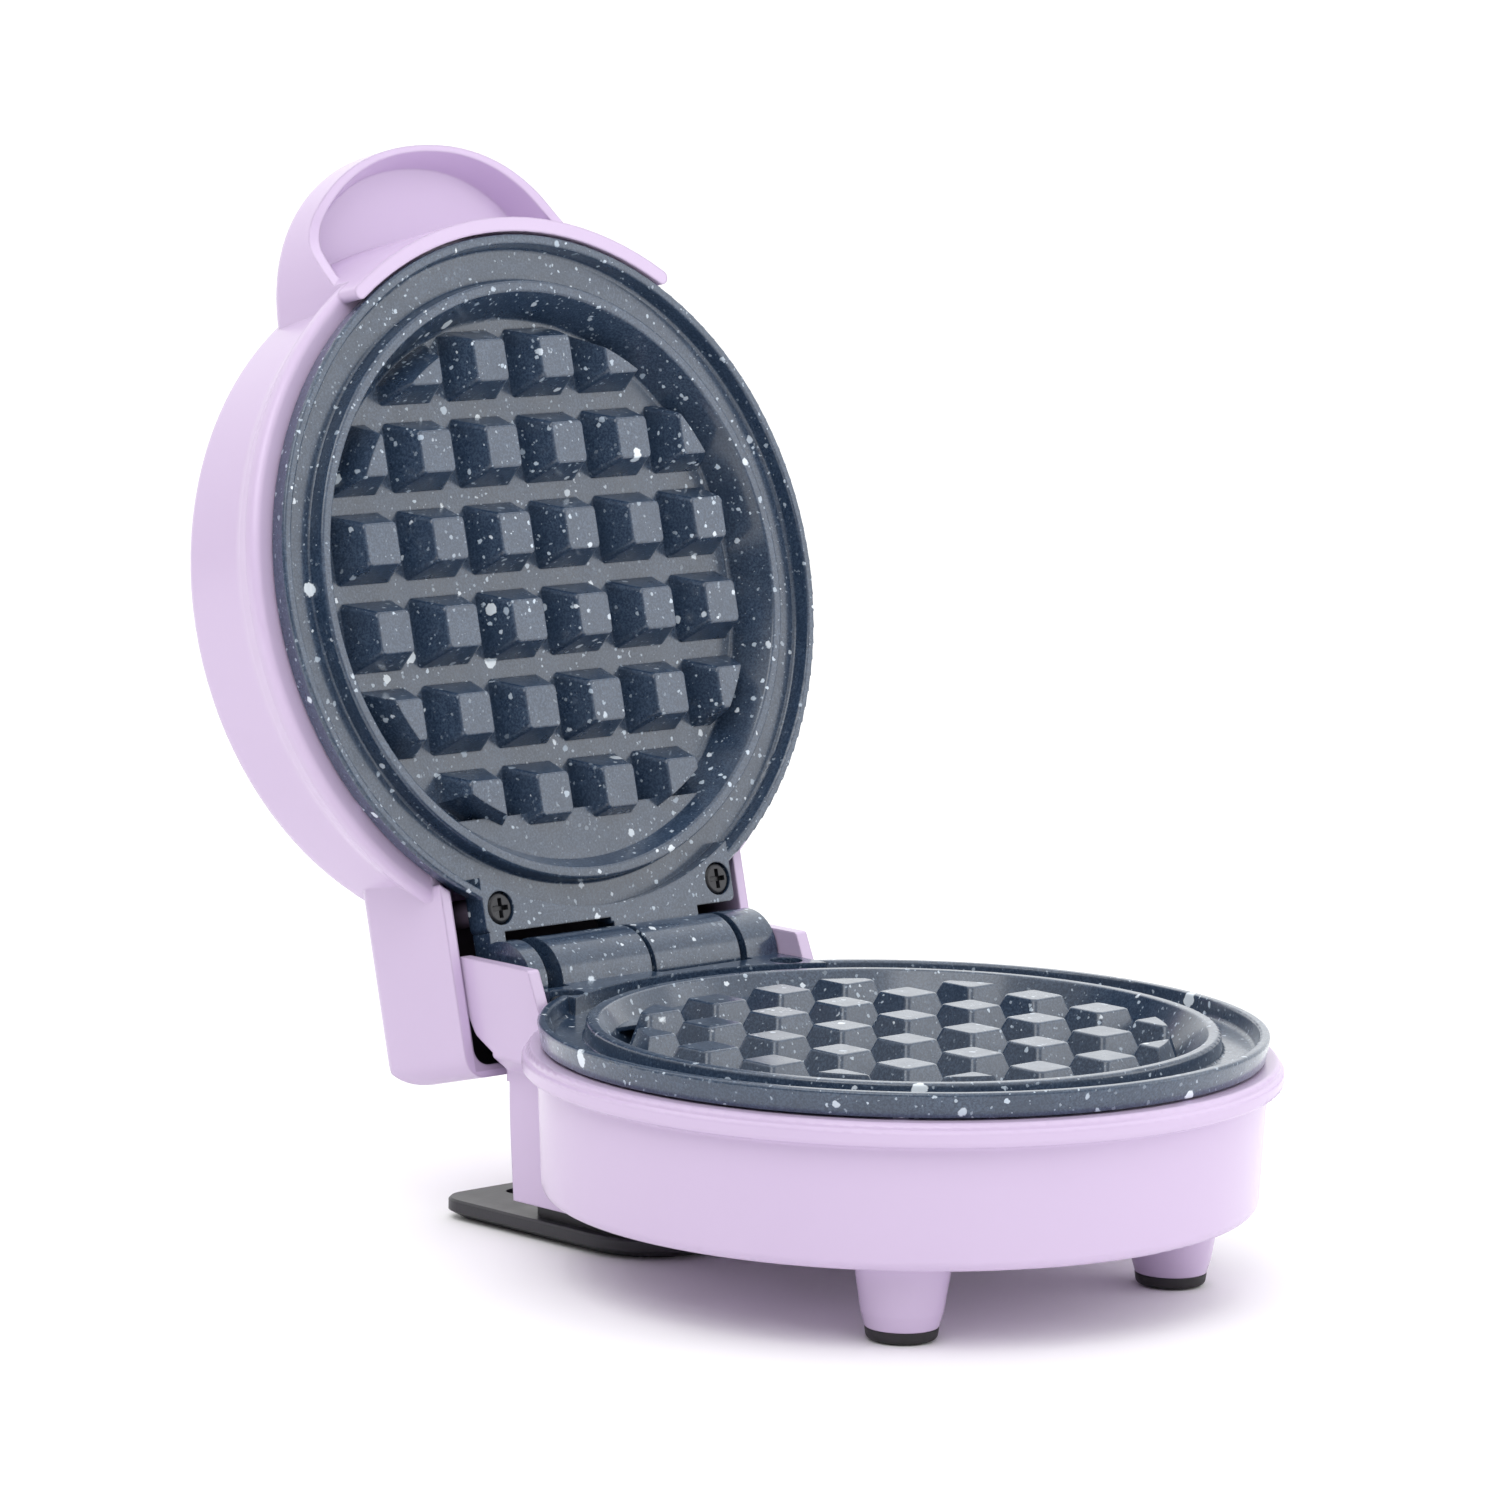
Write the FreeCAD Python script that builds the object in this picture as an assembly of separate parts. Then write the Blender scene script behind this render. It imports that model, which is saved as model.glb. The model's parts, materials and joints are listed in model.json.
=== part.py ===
"""Mini waffle maker with its lid held open.

Units are millimetres and +Z is up.  Everything is drawn about the axis of the round lower
grill plate, with the table at z = 0, the front towards -Y and the hinge towards +Y.  At the
end all pieces are shifted along Y, so that the origin lies on the table at the middle of the
open appliance's footprint.  Lid pieces are drawn with the lid shut and then swung open.
"""
import FreeCAD, Part
import math
import os
from FreeCAD import Vector, Placement, Rotation

# ---- driving dimensions ----
LIP_Z = 42.9            # lip of the lower grill plate above the table
CLOSED_GAP = 1.0        # lip to lip with the lid shut
HINGE_Y = 69.0          # hinge axis behind the plate axis
HINGE_Z = LIP_Z - 0.65  # hinge axis height
OPEN_DEG = 104.0        # lid angle at its open stop

PLATE_R = 61.0          # outer radius of a grill plate
RING_R = 50.8           # inner radius of the batter ring: a 4 inch waffle
RING_WALL = 1.9
FLOOR_R = 47.1
FLOOR_DEPTH = 7.1
CHANNEL_DEPTH = 3.0
PLATE_EDGE = 4.1        # depth of the plate's visible outer wall
PLATE_SKIRT = 8.0       # depth of the narrower skirt that drops into the shell
SKIRT_R = 58.2
STUD_PITCH = 15.25
STUD_ROWS = (4, 6, 6, 6, 6, 4)
STUD_TOP_HALF = 3.65
STUD_BASE_HALF = 6.15
STUD_TOP_DEPTH = 0.5
GRID_SHIFT = -0.9       # the stud grid lies a little towards the front

KNUCKLE_R = 7.6
KNUCKLE_ROOM = 1.6      # gap between a plate's edge and the other plate's knuckles
PIN_R = 2.0
RUNNING = 0.05          # radial clearance of the turning knuckles on the pin
UPPER_KNUCKLES = ((-27.8, -24.3), (0.9, 20.8))
LOWER_KNUCKLES = ((-20.8, -0.2), (22.4, 29.8))
TAB_LEFT = -28.2
TAB_RIGHT = 29.9
TAB_THICK = 4.4
TAB_INNER_R = 57.5      # the tab fills the outer channel from here outwards

WALL = 2.2              # plastic wall
SHELL_R = 60.75         # tub wall just under its rim
SHELL_DRAFT = 1.0       # loss of radius down the tub wall
SHELL_DEPTH = 29.2      # lip plane to the tub's lower edge
RIM_R = 63.4            # outer radius of the tub's rim bead
LID_RIM_R = 63.8        # outer radius of the lid's flared edge
RIM_TOP = 4.5           # lip plane to the top of the rim
RIM_INNER_R = 58.5
SHELL_INNER_R = 57.55   # at the tub's lower edge
LID_DEPTH = 27.7        # upper lip plane to the flat of the lid
LID_CROWN = 1.1

EAR_OUTER = 32.7
EAR_INNER = 30.2
NECK_HALF = 29.4
ARM_HALF = 35.2
ARM_WALL = 2.1
ARM_BACK = 15.0         # hinge axis to the outside of the arm's end wall
ARM_TOP = 26.4          # hinge axis to the outside of the arm's broad wall
ARM_CORNER_R = 8.5      # between the arm's end wall and its broad wall
ARM_OPEN = 4.0          # hinge axis to the arm's open edge

FOOT_X = 31.6
FOOT_Y = -32.7
FOOT_TIP = 2.0
WRAP_TOP = 3.5
WRAP_REAR = 84.0
WRAP_FRONT = 30.5
WRAP_HALF = 29.6
NECK_FOOT = 5.9         # lower edge of the neck above the table

SCREW_R = 1.5
BOSS_R = 3.6
SCREW_HEAD_R = 2.75
WRAP_SCREWS_Y = 59.6
TAB_BOSS_R = 2.45
SLEEVE_R = 1.3
SLEEVE_X = -22.55        # middle of the gap between the first two knuckles
LONG_SCREW_R = 53.8     # circle of the long screws that hold the lower plate and the cover
LONG_SCREW_ANGLES = (-90, -170, -10)
LOWER_TAB_SCREWS = ((-25.7, 55.1), (25.7, 55.1))
LOWER_TAB_SEAT = 2.6    # lip plane to the seat under the screw heads
UPPER_TAB_SCREWS = ((-24.4, 55.7), (26.6, 55.6))
UPPER_TAB_SEAT = 1.8
WRAP_SCREW_X = 20.0

HEATER_R = 34.0
HEATER_TUBE_R = 3.2
HEATER_DEPTH = 13.4     # lip plane to the heater's centre line
CLAMP_DEPTH = 16.7
CLAMP_THICK = 1.2
CLAMP_SCREW_R = 22.0
CLAMP_SCREW_ANGLES = (150, 270, 30)
SHIELD_R = 48.5
SHIELD_DEPTH = 21.0
SHIELD_THICK = 0.8
THERMOSTAT_R = 8.0
BRACKET_SCREW_X = 12.2

HANDLE_HALF = 33.8      # superellipse that outlines the handle
HANDLE_REACH = 31.3
HANDLE_BASE_Y = -49.0
HANDLE_POWER = 2.15
HANDLE_SIDE_WALL = 2.4
HANDLE_END_WALL = 1.1
HANDLE_BACK = 26.5      # upper lip plane to the handle's back
POCKET_FRONT = 18.5     # upper lip plane to the handle's open rim
POCKET_BACK = 24.0      # upper lip plane to the floor of the finger pocket
VISOR_R = 63.9
VISOR_INNER_R = 61.4
VISOR_HALF_ANGLE = 34.0
INLET_Z = 18.0
INLET_BORE_R = 3.2
LENS_Y = -30.0

X_AXIS = Vector(1, 0, 0)
Y_AXIS = Vector(0, 1, 0)
Z_AXIS = Vector(0, 0, 1)
ORIGIN = Vector(0, 0, 0)
HINGE = Vector(0, HINGE_Y, HINGE_Z)


# ---- drawing helpers ----
def on_xy(a, b):
    return Vector(a, b, 0)


def on_xz(a, b):
    return Vector(a, 0, b)


def on_yz(a, b):
    return Vector(0, a, b)


def outline(corners, plane):
    """Face inside (a, b, radius) corners, each rounded to its radius."""
    spans = []
    count = len(corners)
    for i, (a, b, radius) in enumerate(corners):
        here = Vector(a, b, 0)
        if radius == 0:
            spans.append((here, here, here))
            continue
        back = Vector(*corners[i - 1][:2], 0) - here
        ahead = Vector(*corners[(i + 1) % count][:2], 0) - here
        back.normalize()
        ahead.normalize()
        half = back.getAngle(ahead) / 2
        reach = radius / math.tan(half)
        middle = (back + ahead).normalize() * (radius / math.sin(half) - radius)
        spans.append((here + back * reach, here + middle, here + ahead * reach))
    edges = []
    for i, (start, middle, end) in enumerate(spans):
        if not start.isEqual(end, 1e-6):
            edges.append(Part.Arc(plane(start.x, start.y), plane(middle.x, middle.y),
                                  plane(end.x, end.y)).toShape())
        following = spans[(i + 1) % count][0]
        if not end.isEqual(following, 1e-6):
            edges.append(Part.makeLine(plane(end.x, end.y), plane(following.x, following.y)))
    return Part.Face(Part.Wire(edges))


def turned(corners):
    """Solid of revolution about Z from (radius, z, fillet) corners."""
    return outline(corners, on_xz).revolve(ORIGIN, Z_AXIS, 360)


def along_x(corners, x_from, x_to):
    """Prism along X of a (y, z, fillet) outline."""
    face = outline(corners, on_yz)
    face.translate(Vector(x_from, 0, 0))
    return face.extrude(Vector(x_to - x_from, 0, 0))


def along_z(corners, z_from, z_to):
    """Prism along Z of an (x, y, fillet) outline."""
    face = outline(corners, on_xy)
    face.translate(Vector(0, 0, z_from))
    return face.extrude(Vector(0, 0, z_to - z_from))


def box(x, y, z):
    """Box from three (low, high) pairs."""
    corner = Vector(x[0], y[0], z[0])
    return Part.makeBox(x[1] - x[0], y[1] - y[0], z[1] - z[0], corner)


def rod(radius, start, end):
    start, end = Vector(*start), Vector(*end)
    return Part.makeCylinder(radius, (end - start).Length, start, end - start)


def tube_along(points, radius, bend):
    """Round lead through points, with each corner rounded to the bend radius."""
    points = [Vector(*p) for p in points]
    edges = []
    last = points[0]
    for before, here, after in zip(points, points[1:], points[2:]):
        back = (before - here).normalize()
        ahead = (after - here).normalize()
        half = back.getAngle(ahead) / 2
        reach = bend / math.tan(half)
        middle = here + (back + ahead).normalize() * (bend / math.sin(half) - bend)
        edges.append(Part.makeLine(last, here + back * reach))
        edges.append(Part.Arc(here + back * reach, middle, here + ahead * reach).toShape())
        last = here + ahead * reach
    edges.append(Part.makeLine(last, points[-1]))
    path = Part.Wire(edges)
    section = Part.Wire(Part.makeCircle(radius, points[0], points[1] - points[0]))
    return path.makePipeShell([section], True, False)


def fused(shapes):
    whole = shapes[0]
    if len(shapes) > 1:
        whole = whole.multiFuse(shapes[1:])
    return whole.removeSplitter()


def mirrored(shape):
    """Copy mirrored in the plane x = 0."""
    return shape.mirror(ORIGIN, X_AXIS)


def lifted(shape, z):
    copy = shape.copy()
    copy.translate(Vector(0, 0, z))
    return copy


def flipped(shape):
    """Copy turned face down about the Y axis, at the shut lid's place."""
    copy = shape.copy()
    copy.rotate(ORIGIN, Y_AXIS, 180)
    copy.translate(Vector(0, 0, LIP_Z + CLOSED_GAP))
    return copy


def polar(radius, degrees):
    angle = math.radians(degrees)
    return radius * math.cos(angle), radius * math.sin(angle)


# ---- grill plates ----
def stud():
    """One waffle stud: a pyramid with rounded corners and a softened top."""
    low, high = -FLOOR_DEPTH - 0.2, -STUD_TOP_DEPTH
    body = Part.makeWedge(-STUD_BASE_HALF, low, -STUD_BASE_HALF, -STUD_TOP_HALF, -STUD_TOP_HALF,
                          STUD_BASE_HALF, high, STUD_BASE_HALF, STUD_TOP_HALF, STUD_TOP_HALF)
    body.rotate(ORIGIN, X_AXIS, 90)
    sides = [e for e in body.Edges if e.BoundBox.ZLength > 1]
    body = body.makeFillet(1.0, sides)
    top = [e for e in body.Edges if e.BoundBox.ZMin > high - 0.01]
    return body.makeFillet(0.5, top)


def studs():
    """The grid of studs, trimmed to the round cooking floor."""
    one = stud()
    clear_r = FLOOR_R - 2.9
    field = Part.makeCone(FLOOR_R - 0.5, clear_r, FLOOR_DEPTH + 0.4,
                          Vector(0, 0, -FLOOR_DEPTH - 0.3), Z_AXIS)
    grid = []
    for row, count in enumerate(STUD_ROWS):
        for column in range(count):
            x = (column - (count - 1) / 2) * STUD_PITCH
            y = (row - (len(STUD_ROWS) - 1) / 2) * STUD_PITCH + GRID_SHIFT
            copy = one.copy()
            copy.translate(Vector(x, y, 0))
            reach = math.hypot(abs(x) + STUD_BASE_HALF, abs(y) + STUD_BASE_HALF)
            grid.append(copy.common(field) if reach > clear_r else copy)
    return grid


def plate_blank():
    """Round casting with its lip at z = 0 and its cooking face up."""
    inner_skirt_r = SKIRT_R - 1.8
    web = -5.7
    back = -10.0
    return turned([
        (0, -FLOOR_DEPTH, 0), (FLOOR_R, -FLOOR_DEPTH, 0.9), (RING_R, 0, 0.6),
        (RING_R + RING_WALL, 0, 0.6), (RING_R + RING_WALL + 0.4, -CHANNEL_DEPTH, 0.5),
        (PLATE_R - 2.4, -CHANNEL_DEPTH, 0.8), (PLATE_R - 1.8, 0, 0.45), (PLATE_R, 0, 0.5),
        (PLATE_R - 0.75, -PLATE_EDGE, 0.3), (SKIRT_R, -PLATE_EDGE, 0),
        (SKIRT_R, -PLATE_SKIRT, 0.4), (inner_skirt_r, -PLATE_SKIRT, 0), (inner_skirt_r, web, 0),
        (49.6, web, 0.8), (48.0, back, 0.8), (0, back, 0)])


def heater_torus(tube_r, sweep):
    """Torus about Z at the heater's depth; an open one has its gap towards the hinge."""
    ring = Part.Face(Part.Wire(Part.makeCircle(tube_r, Vector(HEATER_R, 0, -HEATER_DEPTH), Y_AXIS)))
    ring = ring.revolve(ORIGIN, Z_AXIS, sweep)
    ring.rotate(ORIGIN, Z_AXIS, 90 + (360 - sweep) / 2)
    return ring


def plate_back():
    """Grooved heater seat and the bosses under the casting."""
    top = -9.8
    seat = turned([(HEATER_R - 5, top, 0), (HEATER_R + 5, top, 0),
                   (HEATER_R + 4.6, -HEATER_DEPTH, 0.5), (HEATER_R - 4.6, -HEATER_DEPTH, 0.5)])
    pieces = [seat.cut(heater_torus(HEATER_TUBE_R, 360))]
    for angle in CLAMP_SCREW_ANGLES:
        x, y = polar(CLAMP_SCREW_R, angle)
        pieces.append(rod(BOSS_R, (x, y, top), (x, y, -CLAMP_DEPTH)))
    for x in (-BRACKET_SCREW_X, BRACKET_SCREW_X):
        pieces.append(rod(2.6, (x, 0, top), (x, 0, -18.0)))
    return pieces


def back_holes():
    """Blind holes for the clamp and bracket screws."""
    holes = []
    for angle in CLAMP_SCREW_ANGLES:
        x, y = polar(CLAMP_SCREW_R, angle)
        holes.append(rod(SCREW_R, (x, y, -11.0), (x, y, -CLAMP_DEPTH - 1)))
    for x in (-BRACKET_SCREW_X, BRACKET_SCREW_X):
        holes.append(rod(1.25, (x, 0, -12.0), (x, 0, -19.0)))
    return holes


def knuckle(span, radius):
    return rod(radius, (span[0], HINGE_Y, HINGE_Z), (span[1], HINGE_Y, HINGE_Z))


def plate_with_hinge(blank, own, rival, tab_z, bowl_z, bore_r):
    """Adds the screw tab and knuckles to a plate that is already in its shut place."""
    tab_end = HINGE_Y - KNUCKLE_R - KNUCKLE_ROOM
    tab = along_z([(TAB_LEFT, 40, 0), (TAB_RIGHT, 40, 0),
                   (TAB_RIGHT, tab_end, 1.2), (TAB_LEFT, tab_end, 1.2)], *tab_z)
    bowl = rod(TAB_INNER_R, (0, 0, bowl_z[0]), (0, 0, bowl_z[1]))
    slots = [box((span[0] - 0.5, span[1] + 0.5), (tab_end, HINGE_Y), (LIP_Z - 5, LIP_Z + 6))
             for span in rival]
    pieces = [fused([blank, tab.cut(bowl)]).cut(slots)]
    for span in own:
        pieces.append(knuckle(span, KNUCKLE_R))
        pieces.append(box(span, (tab_end - 0.1, HINGE_Y), tab_z))
    return fused(pieces).cut(knuckle((-40, 40), bore_r))


def tab_screw_holes(screws, face_z, seat, side):
    """Counterbored holes in a tab whose cooking face is at face_z; side is its outward sign."""
    holes = []
    for x, y in screws:
        holes.append(rod(SCREW_R, (x, y, face_z + side), (x, y, face_z - 8 * side)))
        holes.append(rod(SCREW_HEAD_R + 0.2, (x, y, face_z + side), (x, y, face_z - seat * side)))
    return holes


def lower_plate():
    lugs = []
    holes = []
    for angle in LONG_SCREW_ANGLES:
        x, y = polar(LONG_SCREW_R, angle)
        lugs.append(rod(2.9, (x, y, -5.5), (x, y, -9.9)))
        holes.append(rod(SCREW_R, (x, y, -7.0), (x, y, -11.0)))
    blank = fused([plate_blank()] + studs() + plate_back() + lugs).cut(back_holes() + holes)
    plate = plate_with_hinge(lifted(blank, LIP_Z), LOWER_KNUCKLES, UPPER_KNUCKLES,
                             (LIP_Z - TAB_THICK, LIP_Z), (LIP_Z - 3.6, LIP_Z + 1), PIN_R)
    return plate.cut(tab_screw_holes(LOWER_TAB_SCREWS, LIP_Z, LOWER_TAB_SEAT, 1))


def upper_plate():
    hook = fused([box((-6, 6), (-56.0, -53.0), (-13.0, -5.4)),
                  box((-6, 6), (-57.4, -53.0), (-13.0, -11.0))])
    blank = fused([plate_blank()] + studs() + plate_back() + [hook]).cut(back_holes())
    face_z = LIP_Z + CLOSED_GAP
    plate = plate_with_hinge(flipped(blank), UPPER_KNUCKLES, LOWER_KNUCKLES,
                             (face_z, face_z + TAB_THICK), (face_z - 1, face_z + 3.6),
                             PIN_R + RUNNING)
    return plate.cut(tab_screw_holes(UPPER_TAB_SCREWS, face_z, UPPER_TAB_SEAT, -1))


# ---- heating parts, drawn under a face-up plate with its lip at z = 0 ----
def heater():
    """Tubular heating element with its two cold pins."""
    sweep = 328
    ring = heater_torus(HEATER_TUBE_R, sweep)
    pins = []
    for side in (-1, 1):
        x, y = polar(HEATER_R, 90 + side * (360 - sweep) / 2)
        pins.append(rod(2.4, (x, y, -HEATER_DEPTH), (x, y, -HEATER_DEPTH - 4.0)))
        pins.append(rod(1.2, (x, y, -HEATER_DEPTH), (x, y, -20.4)))
    return fused([ring] + pins)


def heater_clamp():
    """Pressed steel ring that holds the heater in its groove."""
    ring = turned([(15.6, -CLAMP_DEPTH, 0), (HEATER_R + 4, -CLAMP_DEPTH, 0.4),
                   (HEATER_R + 4, -CLAMP_DEPTH - CLAMP_THICK, 0.4), (15.6, -CLAMP_DEPTH - CLAMP_THICK, 0)])
    cuts = [box((-13.5, 13.5), (25.0, 45.0), (-20, -10))]
    for angle in CLAMP_SCREW_ANGLES:
        x, y = polar(CLAMP_SCREW_R, angle)
        cuts.append(rod(SCREW_R + 0.1, (x, y, -20), (x, y, -10)))
    for angle in range(0, 360, 60):
        x, y = polar(28.0, angle)
        if y < 20:
            cuts.append(rod(1.6, (x, y, -20), (x, y, -10)))
    return ring.cut(cuts)


def clamp_spacers():
    sleeves = []
    for angle in CLAMP_SCREW_ANGLES:
        x, y = polar(CLAMP_SCREW_R, angle)
        low, high = (x, y, -SHIELD_DEPTH), (x, y, -CLAMP_DEPTH - CLAMP_THICK)
        sleeves.append(rod(2.9, low, high).cut(rod(SCREW_R + 0.1, low, high)))
    return Part.makeCompound(sleeves)


def pan_screw(x, y, seat_z, tip_z, shank_r=SCREW_R, head_r=SCREW_HEAD_R):
    """Cross-head pan screw whose head sits on seat_z and whose tip is at tip_z."""
    side = 1 if tip_z > seat_z else -1
    height = 1.7
    top_z = seat_z - side * height
    head = rod(head_r, (x, y, seat_z), (x, y, top_z))
    rims = [e for e in head.Edges if abs(e.BoundBox.ZMin - top_z) < 1e-6 and e.BoundBox.ZLength < 1e-6]
    head = head.makeFillet(0.7, rims)
    screw = fused([head, rod(shank_r, (x, y, seat_z), (x, y, tip_z))])
    arm = head_r * 0.62
    wide = 0.42
    z_pair = sorted((top_z - side, top_z + side * 1.0))
    cross = [box((x - arm, x + arm), (y - wide, y + wide), z_pair),
             box((x - wide, x + wide), (y - arm, y + arm), z_pair)]
    return screw.cut(cross)


def clamp_screws():
    screws = []
    for angle in CLAMP_SCREW_ANGLES:
        x, y = polar(CLAMP_SCREW_R, angle)
        screws.append(pan_screw(x, y, -SHIELD_DEPTH - SHIELD_THICK, -11.0))
    return Part.makeCompound(screws)


def heat_shield():
    """Thin dish between the hot parts and the plastic shell."""
    low = -SHIELD_DEPTH - SHIELD_THICK
    dish = turned([(0, -SHIELD_DEPTH, 0), (SHIELD_R - SHIELD_THICK, -SHIELD_DEPTH, 2.0),
                   (SHIELD_R - SHIELD_THICK, -15.0, 0), (SHIELD_R, -15.0, 0),
                   (SHIELD_R, low, 2.8), (0, low, 0)])
    cuts = [rod(3.0, (0, -38, low - 1), (0, -38, -19))]
    for angle in CLAMP_SCREW_ANGLES:
        x, y = polar(CLAMP_SCREW_R, angle)
        cuts.append(rod(SCREW_R + 0.1, (x, y, low - 1), (x, y, -19)))
    return dish.cut(cuts)


def thermostat():
    """Disc thermostat pressed against the casting, with two blade terminals."""
    can = rod(THERMOSTAT_R, (0, 0, -10.0), (0, 0, -12.2))
    body = rod(THERMOSTAT_R - 0.7, (0, 0, -12.2), (0, 0, -18.0))
    blades = [box((side - 0.4, side + 0.4), (-2.2, 2.2), (-20.3, -17.9)) for side in (-5.0, 5.0)]
    return fused([can, body] + blades)


def thermostat_bracket():
    """Strip across the thermostat, screwed to two bosses."""
    end = BRACKET_SCREW_X + 2.8
    strip = along_z([(-end, -3.4, 2.6), (end, -3.4, 2.6), (end, 3.4, 2.6), (-end, 3.4, 2.6)],
                    -18.8, -18.0)
    cuts = [rod(1.35, (x, 0, -20), (x, 0, -17)) for x in (-BRACKET_SCREW_X, BRACKET_SCREW_X)]
    cuts += [box((side - 0.9, side + 0.9), (-2.7, 2.7), (-20, -17)) for side in (-5.0, 5.0)]
    return strip.cut(cuts)


def bracket_screws():
    return Part.makeCompound([pan_screw(x, 0, -18.8, -12.0, 1.25, 2.2)
                              for x in (-BRACKET_SCREW_X, BRACKET_SCREW_X)])


# ---- shells ----
def shell_blank(rim, depth):
    """Round shell wall below its rim corners, drawn downwards from a lip plane at z = 0."""
    return turned([(0, -RIM_TOP, 0)] + rim + [(SHELL_R - SHELL_DRAFT, -depth, 0), (0, -depth, 0)])


def tub_rim():
    """Stepped bead round the tub."""
    return [(RIM_R - 0.75, -RIM_TOP, 0.8), (RIM_R - 0.7, -5.6, 0.15),
            (RIM_R, -6.0, 0.4), (RIM_R, -8.3, 0.9), (SHELL_R, -8.8, 0.6)]


def lid_rim():
    """Softly flared edge of the lid, with a faint step behind it."""
    return [(LID_RIM_R, -RIM_TOP, 1.3), (LID_RIM_R - 0.2, -7.2, 0.2), (LID_RIM_R - 0.55, -7.4, 0.2),
            (SHELL_R + 0.1, -12.5, 6.0)]


def base_shell():
    """Tub, rear neck and the two hinge ears, open underneath for the cover."""
    floor_z = LIP_Z - 28.9
    tub = lifted(shell_blank(tub_rim(), SHELL_DEPTH), LIP_Z)
    low_edge = [e for e in tub.Edges if abs(e.BoundBox.ZMax - LIP_Z + SHELL_DEPTH) < 1e-6
                and e.BoundBox.XLength > 2 * SHELL_INNER_R]
    tub = tub.makeFillet(1.9, low_edge)
    neck_top = LIP_Z - 9.7
    neck = along_z([(-NECK_HALF, 33, 4), (NECK_HALF, 33, 4), (NECK_HALF, 66.2, 1.4),
                    (-NECK_HALF, 66.2, 1.4)], NECK_FOOT, neck_top)
    slope = along_x([(30, NECK_FOOT - 1, 0), (63.8, NECK_FOOT - 1, 0),
                     (66.2, neck_top, 0), (30, neck_top, 0)], -40, 40)
    solid = fused([tub, neck.common(slope)])
    cavity = turned([(0, -RIM_TOP + 1, 0), (RIM_INNER_R, -RIM_TOP + 1, 0), (RIM_INNER_R, -RIM_TOP, 0),
                     (SHELL_INNER_R, -SHELL_DEPTH - 1, 0), (0, -SHELL_DEPTH - 1, 0)])
    ledge = box((-60, 60), (31.5, 60), (floor_z, floor_z + 2.1))
    cavity = lifted(cavity, LIP_Z).cut(ledge)
    wall = 2.2
    hollow = along_z([(-NECK_HALF + wall, 35.2, 2), (NECK_HALF - wall, 35.2, 2),
                      (NECK_HALF - wall, 61.8, 2), (-NECK_HALF + wall, 61.8, 2)],
                     NECK_FOOT - 1, LIP_Z)
    hinge_room = box((-EAR_INNER, EAR_INNER), (44, 90), (neck_top, LIP_Z + 20))
    shell = solid.cut([cavity, hollow, hinge_room])
    pieces = [shell]
    for side in (-1, 1):
        pieces.append(ear(side))
        pieces.append(rod(BOSS_R, (WRAP_SCREW_X * side, WRAP_SCREWS_Y, 8.5),
                          (WRAP_SCREW_X * side, WRAP_SCREWS_Y, 22)))
    for x, y in LOWER_TAB_SCREWS:
        pieces.append(rod(TAB_BOSS_R, (x, y, LIP_Z - TAB_THICK), (x, y, LIP_Z - 24)))
    for angle in LONG_SCREW_ANGLES:
        x, y = polar(LONG_SCREW_R, angle)
        pieces.append(rod(BOSS_R, (x, y, LIP_Z - 26.7), (x, y, LIP_Z - 10.0)))
        x, y = polar(LONG_SCREW_R + 1.7, angle)
        pieces.append(rod(BOSS_R, (x, y, LIP_Z - 26.7), (x, y, LIP_Z - 10.0)))
    shell = fused(pieces)
    notch = box((SLEEVE_X - 2, SLEEVE_X + 2), (61, 68), (LIP_Z - 13.2, LIP_Z))
    holes = [rod(5.0, (0, 60, INLET_Z), (0, 70, INLET_Z)), notch]
    for x, y in LOWER_TAB_SCREWS:
        holes.append(rod(SCREW_R, (x, y, LIP_Z), (x, y, LIP_Z - 16)))
    for x in (-WRAP_SCREW_X, WRAP_SCREW_X):
        holes.append(rod(SCREW_R, (x, WRAP_SCREWS_Y, 8), (x, WRAP_SCREWS_Y, 20)))
    for angle in LONG_SCREW_ANGLES:
        x, y = polar(LONG_SCREW_R, angle)
        holes.append(rod(SCREW_R + 0.1, (x, y, 0), (x, y, LIP_Z)))
    return shell.cut(holes)


def ear(side):
    """Flat cheek beside the hinge knuckles, running down into the neck."""
    low = LIP_Z - 14.5
    corners = [(57.4, LIP_Z + 4.1, 0.8), (76.3, LIP_Z + 4.1, 1.2), (74.6, LIP_Z - 2.5, 3),
               (70.4, LIP_Z - 8.8, 3), (66.0, LIP_Z - 11.2, 0), (66.0, low, 0), (50.5, low, 0),
               (50.5, LIP_Z - RIM_TOP, 0), (53.6, LIP_Z - RIM_TOP, 0)]
    cheek = along_x(corners, EAR_INNER, EAR_OUTER)
    foot = outline([(EAR_INNER - 4, LIP_Z - 9.7, 0), (EAR_OUTER, LIP_Z - 9.7, 0),
                    (EAR_OUTER, low + 2.6, 1.0), (NECK_HALF, low, 1.0), (NECK_HALF, low - 2, 0),
                    (EAR_INNER - 4, low - 2, 0)], on_xz)
    foot.translate(Vector(0, 50.5, 0))
    foot = foot.extrude(Vector(0, 15.5, 0))
    trim = outline([(EAR_INNER, LIP_Z + 10, 0), (EAR_OUTER, LIP_Z + 10, 0),
                    (EAR_OUTER, low + 2.6, 1.0), (NECK_HALF, low, 0), (EAR_INNER - 4, low, 0),
                    (EAR_INNER - 4, LIP_Z, 0), (EAR_INNER, LIP_Z, 0)], on_xz)
    trim.translate(Vector(0, 40, 0))
    whole = fused([cheek.common(trim.extrude(Vector(0, 50, 0))), foot])
    whole = whole.cut(rod(RIM_INNER_R, (0, 0, 0), (0, 0, 60)))
    return whole if side > 0 else mirrored(whole)


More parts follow.
